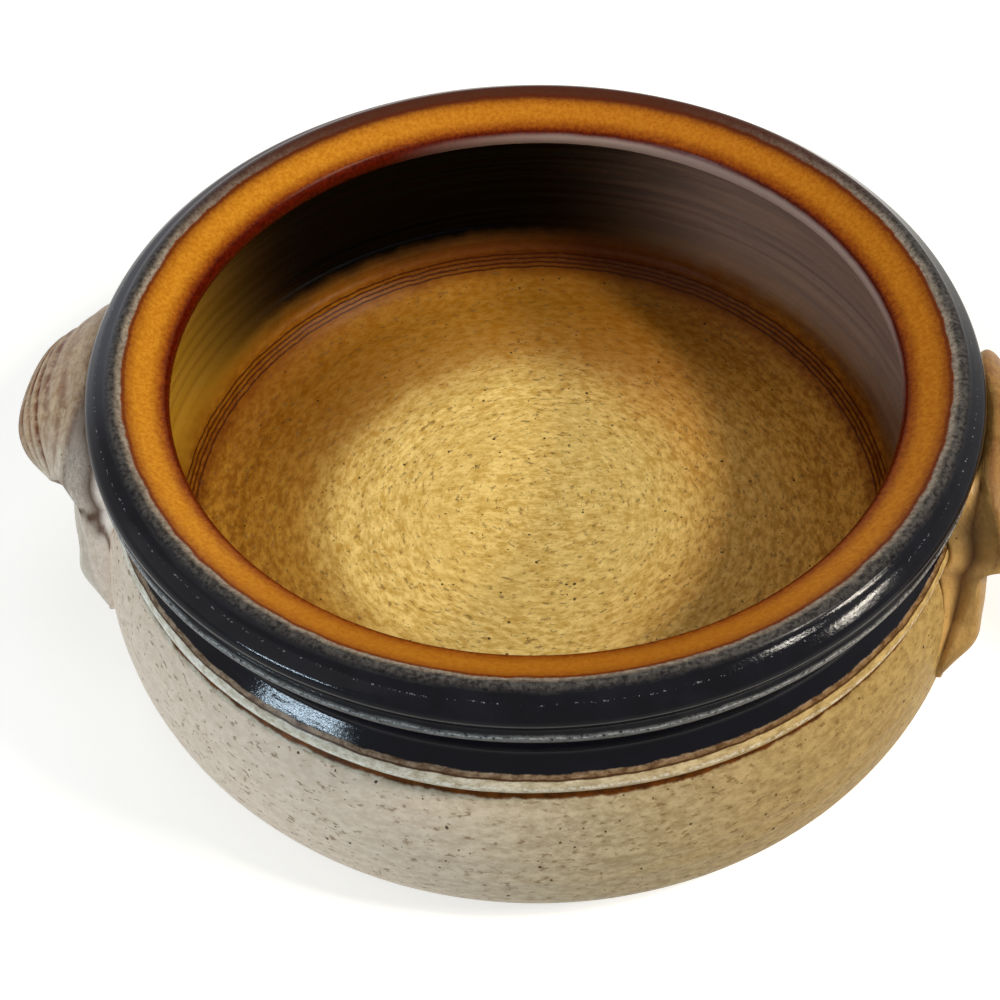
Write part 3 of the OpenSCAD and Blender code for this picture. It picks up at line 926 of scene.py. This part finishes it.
def dish_glaze():
    """Straw coloured floor, dark wall, amber seat, black neck and a speckled oatmeal belly, with painted
    shadow, shade, sheen, highlights and warm light on some sides.
    """
    e = DISH.ends
    foot = RINGS_AT + 4
    wall_to = e["under_lip"] - 2
    return glaze(
        "dish_glaze",
        [
            Zone(0, 0, 0, (242, 212, 132), (200, 160, 76), "streaks", 0.40, 0.9),
            Zone(71, 36, 14, (226, 184, 90), (164, 116, 36), "streaks", 0.38, 0.9),
            Zone(RINGS_AT - 5, 6, 3, (162, 108, 34), (112, 60, 14), "streaks", 0.32, 0.5),
            Zone(RINGS_AT + 5, 8, 3, (132, 92, 38), (84, 48, 16), "lines", 0.26, 0.0),
            Zone(e["sweep"] - 10, 22, 6, (112, 78, 54), (40, 17, 8), "lines", 0.26, 0.0),
            Zone(e["under_lip"] - 0.2, 1.5, 1.5, (92, 22, 4), (62, 10, 2), "frost", 0.26, 0.0),
            Zone(e["seat_edge"] + 0.4, 2.4, 0.9, (150, 76, 10), (116, 46, 4), "frost", 0.26, 0.0),
            Zone(e["seat_edge"] + 2.4, 4.2, 0.9, (204, 138, 36), (180, 110, 16), "frost", 0.30, 0.0),
            Zone(e["seat"] - 4.2, 5.0, 0.8, (140, 72, 16), (110, 44, 6), "frost", 0.26, 0.0),
            Zone(e["seat"] - 2.2, 0.5, 2.2, (158, 146, 130), (108, 94, 80), "frost", 0.5, 0.0),
            Zone(e["seat"] - 0.8, 1.8, 2.4, (80, 76, 72), (30, 27, 26), "frost", 0.34, 0.0),
            Zone(e["seat"] + 1.6, 2.2, 2.0, (12, 12, 20), (3, 3, 8), "mottle", 0.12, 0.0),
            Zone(e["groove"] - 0.2, 0.5, 0.3, (30, 29, 30), (10, 10, 16), "mottle", 0.14, 0.0),
            Zone(e["ridge"] - 1.0, 0.8, 0.4, (6, 6, 16), (1, 1, 7), "mottle", 0.12, 0.0),
            Zone(e["cove"] - 0.3, 0.4, 1.8, (156, 134, 112), (88, 64, 44), "dashes", 0.3, 0.0),
            Zone(e["cove"] + 1.4, 0.5, 0.6, (222, 214, 198), (176, 164, 140), "dashes", 0.24, 0.4),
            Zone(e["bead"] - 1.4, 0.5, 1.8, (108, 60, 18), (64, 34, 8), "dashes", 0.4, 0.2),
            Zone(e["bead"] + 1.6, 0.8, 2.4, (198, 189, 171), (164, 152, 130), "dashes", 0.44, 0.9),
            Zone(e["belly"] - 3, 2.0, 1.0, (166, 146, 116), (140, 120, 92), "frost", 0.75, 0.4),
        ],
        lines=[
            *(Line(at, 0.42, (60, 22, 3), 0.9, 0.3) for at in RINGS),
            Line(e["seat"] - 2.7, 0.7, (84, 30, 8), 0.6, 0.3),
            # Painted glints, pale and broken, along the lip's outer edge
            Line(e["seat"] + 4.6, 0.22, (150, 150, 154), 0.5, 0.6),
            # Painted highlight along the ridge's crest, broad and then thin and brighter
            Line((e["groove"] + e["ridge"]) / 2 - 0.5, 0.9, (128, 128, 126), 0.5, 0.4),
            Line((e["groove"] + e["ridge"]) / 2 - 0.6, 0.25, (180, 180, 178), 0.5, 0.5),
            # Painted sheen low on the lip's outer face
            Line(e["lip"] + 0.6, 0.9, (40, 40, 34), 0.6, 0.4),
            # A thin brown line in the glaze above the bead
            Line(e["cove"] + 1.2, 0.4, (64, 38, 18), 0.9, 0.25),
            # Painted highlight along the bead's crest
            Line(e["cove"] + 3.8, 0.8, (232, 228, 220), 0.5, 0.5),
        ],
        patches=[
            # Painted sheen, lilac grey, on the inner wall at the right
            Patch(30, 38, foot + 4, wall_to - 2, 4, (160, 138, 128), "MIX", 0.34),
            Patch(192, 38, foot, wall_to - 6, 6, (176, 132, 32), "MIX", 0.7),
            Patch(104, 56, 56, foot, 12, (152, 92, 4), "MIX", 0.75),
            Patch(85, 30, RINGS_AT - 3, RINGS_AT + 8, 4, (72, 24, 10), "MIX", 0.7),
            # Painted shadow of the rim on the floor at the right
            Patch(5, 60, 44, foot, 12, (226, 192, 150), "MULTIPLY", 0.8),
            # Painted shadow of the rim on the floor at the left
            Patch(204, 62, 61, foot, 9, (180, 150, 74), "MULTIPLY", 0.85),
            # Painted reflection, pale, on the roll under the inner lip at the back right
            Patch(50, 46, e["wall"] + 3, e["under_lip"] + 0.6, 0.9, (160, 136, 126), "MIX", 0.8),
            # Painted shadow, nearly black, on the inner wall at the back left
            Patch(112, 38, foot + 4, e["under_lip"], 4, (2, 1, 1), "MIX", 1.0),
            # Painted highlight, pale, on the seat's inner edge at the back right
            Patch(48, 44, e["under_lip"] - 0.4, e["seat_edge"] - 1.4, 0.9, (178, 156, 146), "MIX", 0.8),
            Patch(24, 80, e["seat_edge"] + 1, e["seat"] - 2, 1.0, (220, 200, 192), "MULTIPLY", 0.85),
            Patch(92, 48, e["seat"] - 3.4, e["seat"] + 6, 1.2, (68, 28, 8), "MIX", 0.97),
            # Painted reflection, grey blue, of the window on the lip at the left
            Patch(158, 28, e["seat"] + 1, e["lip"] - 1, 1.0, (96, 96, 104), "MIX", 0.45),
            # Painted warm light, yellower, on the bead and belly at the right
            Patch(-10, 70, e["cove"], e["belly"], 1.0, (222, 192, 116), "MULTIPLY", 0.9),
            # Painted light, paler and pinker, on the belly at the left
            Patch(212, 42, e["bead"] + 2.6, e["belly"], 0.6, (240, 212, 190), "MIX", 0.5),
            Patch(-92, 34, e["seat_edge"] + 1, e["seat"] - 3, 1.0, (150, 84, 18), "MIX", 0.5),
        ],
    )


def lid_glaze():
    """Oatmeal dome with a black band, amber foot and a straw coloured hollow."""
    e = LID.ends
    return glaze(
        "lid_glaze",
        [
            Zone(0, 0, 0, (120, 84, 44), (70, 40, 16), "mottle", 0.4, 0.3),
            Zone(e["top"] + 1.5, 1.0, 1.2, (190, 178, 154), (150, 134, 104), "lines", 0.42, 0.8),
            Zone(e["dome"] - 34, 1.0, 3.0, (78, 46, 16), (48, 24, 6), "frost", 0.4, 0.2),
            Zone(e["dome"] - 31, 0.8, 3.0, (12, 12, 22), (3, 3, 8), "mottle", 0.14, 0.0),
            Zone(e["dome"] + 1, 1.0, 1.0, (150, 140, 124), (84, 72, 58), "frost", 0.45, 0.0),
            Zone(e["edge"], 0.8, 0.6, (196, 130, 28), (172, 104, 16), "frost", 0.24, 0.1),
            Zone(e["foot"], 1.0, 0.6, (84, 22, 8), (48, 8, 3), "mottle", 0.16, 0.0),
            Zone(e["foot"] + 5, 4.0, 2.0, (132, 104, 56), (70, 42, 18), "lines", 0.26, 0.2),
            Zone(e["foot"] + 30, 30, 8, (200, 166, 84), (150, 110, 36), "streaks", 0.34, 0.9),
        ],
    )


def knob_glaze():
    """Black, worn brown on the knob's edge and top."""
    e = KNOB.ends
    return glaze(
        "knob_glaze",
        [
            Zone(0, 0, 0, (78, 46, 16), (48, 24, 6), "frost", 0.4, 0.2),
            Zone(e["foot"] + 2.4, 0.8, 1.4, (12, 12, 22), (3, 3, 8), "mottle", 0.14, 0.0),
            Zone(e["waist"] + 1, 1.2, 1.6, (136, 98, 78), (92, 58, 42), "frost", 0.3, 0.0),
            Zone(e["waist"] + 3, 1.0, 1.6, (14, 14, 24), (4, 4, 9), "mottle", 0.14, 0.0),
            Zone(e["edge"] + 1, 1.2, 1.6, (120, 84, 44), (60, 34, 14), "lines", 0.3, 0.3),
        ],
    )


# The handles' colours, dark and light, on the strap and on its legs, and where the legs begin along it; the
# legs' paler colour starts high on the strap, partly as painted sheen
STRAP_TAN = ((138, 102, 66), (196, 168, 134))
LEG_TAN = ((190, 168, 146), (226, 212, 196))
LEG_PALE_AND_SHEEN = (0.24, 0.6)
# Painted light, pale, on the strap's inner side beside the lip, which lies in shade
CHEEK_PAINTED_LIGHT = (255, 236, 220)
MOTTLE_TAN = (206, 188, 166)
# Painted warm light and shade on the handle at the right, yellower and darker, and how close to its direction
# it starts and is whole
RIGHT_WARM_LIGHT = (200, 172, 112)
RIGHT_SIDE = (0.6, 0.9)
# Brown of the glaze in the grooves, and of the seam and creases with painted shade
GROOVE_COLOUR = (98, 46, 12)
SEAM_AND_SHADE_COLOUR = (86, 50, 22)
HANDLE_IRON = (66, 42, 24)
HANDLE_ROUGH = (0.34, 0.46)
HANDLE_BUMPS = 0.1
HANDLE_GLOSS = 0.15


def handle_clay():
    """Tan satin glaze, paler down the legs, partly as painted sheen, and brown where it lies thick in the
    grooves.
    Painted light lightens the strap's inner side, painted warm light and shade tint the handle at the right,
    and painted shade darkens the seam and creases.
    """
    g = Graph("handle_clay")
    length = g.field("length")
    pulled = g.joined(g.math("MULTIPLY", length, 9.0), g.math("MULTIPLY", g.field("across"), 7.0), 0.0)
    pitted = g.noise(g.stretched(2.4, 2.4, 2.4), 4.0, 0.7)
    strokes = g.fade(g.blend(0.45, g.noise(pulled, 5.0, 0.75, 0.4), pitted), *CONTRAST)
    mottle = g.fade(g.noise(g.stretched(3, 3, 3), 5.0, 0.75), *CONTRAST)
    broken = g.blend(g.fade(g.noise(g.stretched(3.5, 3.5, 3.5), 5.0, 0.7), 0.38, 0.56), 0.3, 1.0)
    legs = g.fade(g.math("ABSOLUTE", length), *LEG_PALE_AND_SHEEN)
    dark, light = (g.mix(legs, srgb(*a), srgb(*b)) for a, b in zip(STRAP_TAN, LEG_TAN))
    colour = g.mix(strokes, dark, light)
    # Painted light on the strap's inner side
    colour = g.mix(g.math("MULTIPLY", g.field("cheek_painted_light"), 0.9), colour, srgb(*CHEEK_PAINTED_LIGHT))
    colour = g.mix(g.math("MULTIPLY", mottle, 0.45), colour, srgb(*MOTTLE_TAN))
    # Painted warm light and shade on the handle at the right
    colour = g.mix(g.fade(g.toward(RIGHT_ANGLE), *RIGHT_SIDE), colour, srgb(*RIGHT_WARM_LIGHT), "MULTIPLY")
    colour = g.mix(g.math("MULTIPLY", g.field("brown"), broken), colour, srgb(*GROOVE_COLOUR))
    # Brown seam and creases, with painted shade
    colour = g.mix(g.math("MULTIPLY", g.field("seam"), 0.9), colour, srgb(*SEAM_AND_SHADE_COLOUR))
    colour = g.mix(g.math("MULTIPLY", g.iron(), 0.7), colour, srgb(*HANDLE_IRON))
    rough = g.blend(mottle, *HANDLE_ROUGH)
    height = g.math("ADD", strokes, g.noise(g.stretched(1.2, 1.2, 1.2), 3.0))
    return g.finish(colour, rough, height, HANDLE_BUMPS, HANDLE_GLOSS)


# The pieces


def dress(piece, node, body, material):
    """Gives a piece its material and sets it in the place of a solid."""
    piece.data.materials.append(material)
    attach(piece, body)
    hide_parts(node)


dish = turned("dish", DISH, dish_shape, stay)
dress(dish, "dish_body", "dish", dish_glaze())
clay = handle_clay()
left = strap("strap_left", LEFT_ANGLE, LEFT_MADE)
dress(left, "left_handle", "dish", clay)
right = strap("strap_right", RIGHT_ANGLE, RIGHT_MADE)
dress(right, "right_handle", "dish", clay)
dress(turned("cover", LID, lid_shape, beside_dish), "lid", "lid", lid_glaze())
dress(turned("knob", KNOB, knob_shape, beside_dish), "lid_knob", "lid", knob_glaze())


# Stage, light and camera


# The table's size in metres, its colour in the lamps' light and its glow to the camera, and how far from the
# dish it starts to fade into white and is white
TABLE_SIZE = 8.0
TABLE_COLOUR = (0.62, 0.61, 0.59, 1)
GLOW_COLOUR = (1.0, 0.985, 0.95, 1)
GLOW_NEAR = 0.60
GLOW_FAR = 1.0
TABLE_FADE = (0.4, 1.4)
# The rays in which the background is white
BACKGROUND_RAYS = ("Is Camera Ray", "Is Glossy Ray", "Is Transmission Ray")
# The height in metres at which the lamps look
LAMP_AIM = 0.05


def background_rays(tree):
    """1 for rays that see the background, straight, mirrored or through glass, and 0 for all others."""
    path = tree.nodes.new("ShaderNodeLightPath")
    shows = path.outputs[BACKGROUND_RAYS[0]]
    for kind in BACKGROUND_RAYS[1:]:
        larger = tree.nodes.new("ShaderNodeMath")
        larger.operation = "MAXIMUM"
        tree.links.new(shows, larger.inputs[0])
        tree.links.new(path.outputs[kind], larger.inputs[1])
        shows = larger.outputs[0]
    return shows


def table_top():
    """A pale table that looks white, to the camera and in the glaze, and keeps its shadows."""
    bpy.ops.mesh.primitive_plane_add(size=TABLE_SIZE)
    table = bpy.context.object
    table.name = "table"
    g = Graph("table_white")
    matt = g.node("BsdfDiffuse")
    matt.inputs["Color"].default_value = TABLE_COLOUR
    glow = g.node("Emission")
    glow.inputs["Color"].default_value = GLOW_COLOUR
    away = g.node("VectorMath", operation="LENGTH")
    g.put(away.inputs[0], g.place)
    bright = g.blend(g.fade(away.outputs["Value"], *TABLE_FADE), GLOW_NEAR, GLOW_FAR)
    g.put(glow.inputs["Strength"], g.math("MULTIPLY", background_rays(g.tree), bright))
    both = g.node("AddShader")
    g.put(both.inputs[0], matt.outputs[0])
    g.put(both.inputs[1], glow.outputs[0])
    output = g.node("OutputMaterial")
    g.put(output.inputs["Surface"], both.outputs[0])
    table.data.materials.append(g.material)


def lamp(name, azimuth, elevation, distance, size, level, colour, roll=0.0):
    """A soft box of this size that looks at the dish. A level of 1 lights a white face to white."""
    light = bpy.data.lights.new(name, "AREA")
    light.shape = "RECTANGLE"
    light.size, light.size_y = size
    light.energy = level * math.pi**2 * distance**2
    light.color = colour
    box = bpy.data.objects.new(name, light)
    bpy.context.collection.objects.link(box)
    az, el = math.radians(azimuth), math.radians(elevation)
    way = Vector((math.cos(el) * math.cos(az), math.cos(el) * math.sin(az), math.sin(el)))
    box.location = Vector((0, 0, LAMP_AIM)) + way * distance
    tilt = Quaternion((0, 0, 1), math.radians(roll))
    box.rotation_euler = (way.to_track_quat("Z", "Y") @ tilt).to_euler()


def surroundings(level):
    """Even light from all round, and white behind the table's edge."""
    world = bpy.data.worlds.new("surroundings")
    world.use_nodes = True
    nodes, links = world.node_tree.nodes, world.node_tree.links
    back = nodes["Background"]
    strength = nodes.new("ShaderNodeMix")
    strength.inputs[2].default_value = level
    strength.inputs[3].default_value = 1.0
    links.new(background_rays(world.node_tree), strength.inputs[0])
    links.new(strength.outputs[0], back.inputs["Strength"])
    back.inputs["Color"].default_value = (1, 1, 1, 1)
    bpy.context.scene.world = world


# The camera fitted to the photograph: its place in metres, its own directions, lens and sensor in millimetres
CAMERA_AT = (0.0, -0.25959261, 0.32612665)
CAMERA_RIGHT = (0.99966833, 0.01028427, -0.02361051)
CAMERA_UP = (0.00729771, 0.76609839, 0.64268188)
CAMERA_BACK = (0.02469749, -0.64264103, 0.76576925)
LENS = 50.4
SENSOR = 36.0


def camera():
    """The camera at the photograph's place, with its angle of view."""
    data = bpy.data.cameras.new("camera")
    data.lens = LENS
    data.sensor_width = SENSOR
    eye = bpy.data.objects.new("camera", data)
    bpy.context.collection.objects.link(eye)
    columns = (CAMERA_RIGHT, CAMERA_UP, CAMERA_BACK, CAMERA_AT)
    rows = [[column[i] for column in columns] for i in range(3)]
    eye.matrix_world = Matrix(rows + [[0, 0, 0, 1]])
    bpy.context.scene.camera = eye


table_top()
lamp("warm_key", -19, 51, 0.9, (0.11, 0.11), 0.54, (1.0, 0.94, 0.84))
lamp("warm_side", -17, 31, 0.8, (0.14, 0.05), 0.43, (1.0, 0.93, 0.80))
lamp("cool_top", 90, 72, 0.9, (0.50, 0.50), 0.26, (0.94, 0.97, 1.0))
lamp("cool_window", 220, 14.5, 1.0, (0.30, 0.036), 0.48, (0.66, 0.85, 1.0), 16)
lamp("left_fill", 200, 38, 1.2, (1.2, 1.0), 0.16, (1.0, 0.95, 0.90))
surroundings(0.14)
camera()
bpy.context.scene.view_settings.view_transform = "Standard"
